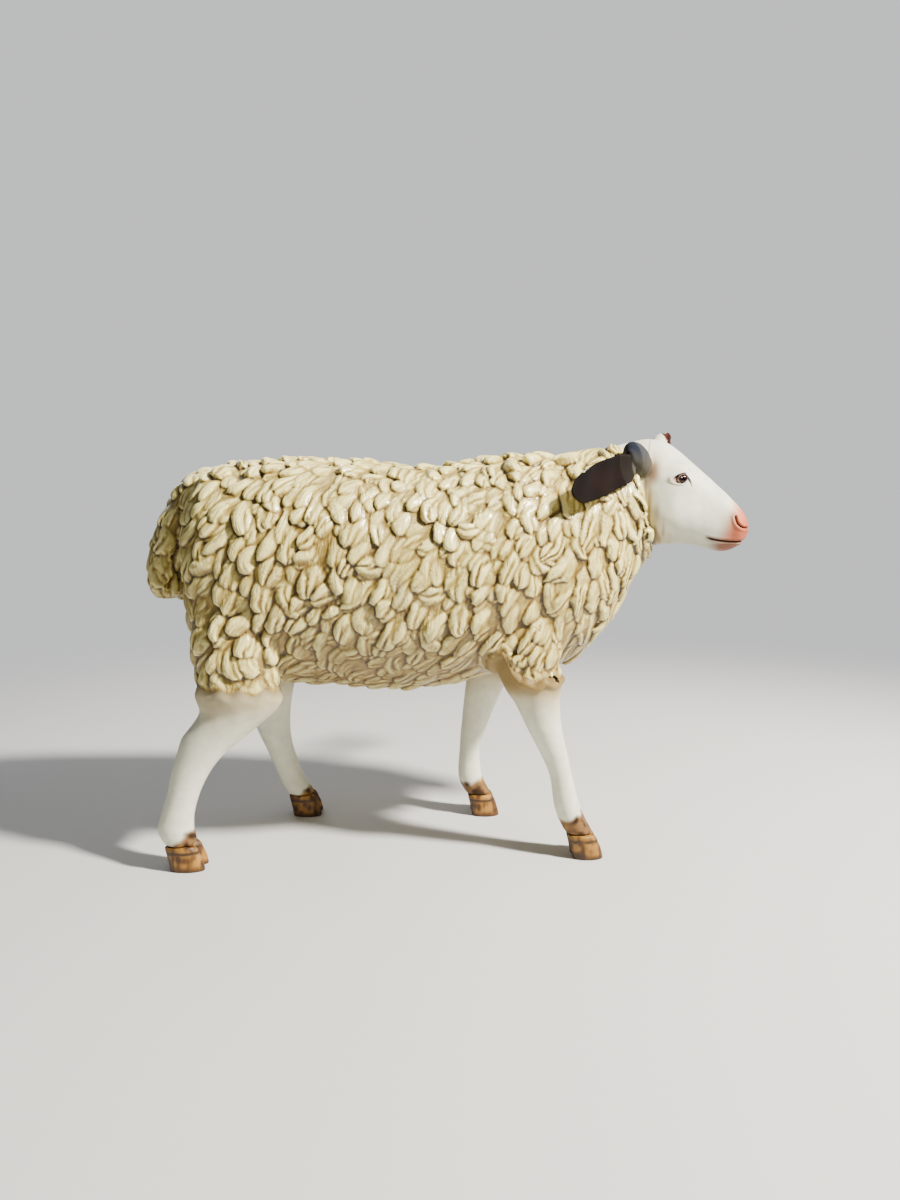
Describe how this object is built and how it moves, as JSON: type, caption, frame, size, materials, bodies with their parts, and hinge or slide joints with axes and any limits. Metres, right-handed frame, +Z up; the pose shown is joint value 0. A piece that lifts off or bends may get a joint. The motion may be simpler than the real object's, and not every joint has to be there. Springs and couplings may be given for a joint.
{
  "type": "sheep statue",
  "caption": "Life-size walking sheep statue: chunky sculpted fleece, bare white head and legs, swept-back ears, broad hanging tail and brown hooves; stands free as garden decoration.",
  "frame": {"origin": "on the ground under the middle of the outline seen from above", "axes": "+X towards the nose, +Y towards the sheep's left side, +Z up"},
  "size_m": [1.24, 0.4508, 0.8745],
  "materials": {
    "fleece": "satin cream paint over glass-fibre, with an ochre wash in the grooves",
    "bare_white": "smooth satin off-white paint over glass-fibre",
    "ear": "satin paint, white outside and dark red-brown inside",
    "eye": "glossy painted brown iris and black pupil",
    "hoof": "ochre-brown satin paint, worn"
  },
  "bodies": {
    "root": {"trunk": "fleece", "neck": "fleece", "tail": "fleece", "head": "bare_white", "ear_left": "ear", "ear_right": "ear", "eye_left": "eye", "eye_right": "eye", "leg_fore_left": "bare_white", "leg_fore_right": "bare_white", "leg_hind_left": "bare_white", "leg_hind_right": "bare_white", "hoof_fore_left": "hoof", "hoof_fore_right": "hoof", "hoof_hind_left": "hoof", "hoof_hind_right": "hoof"}
  },
  "joints": []
}
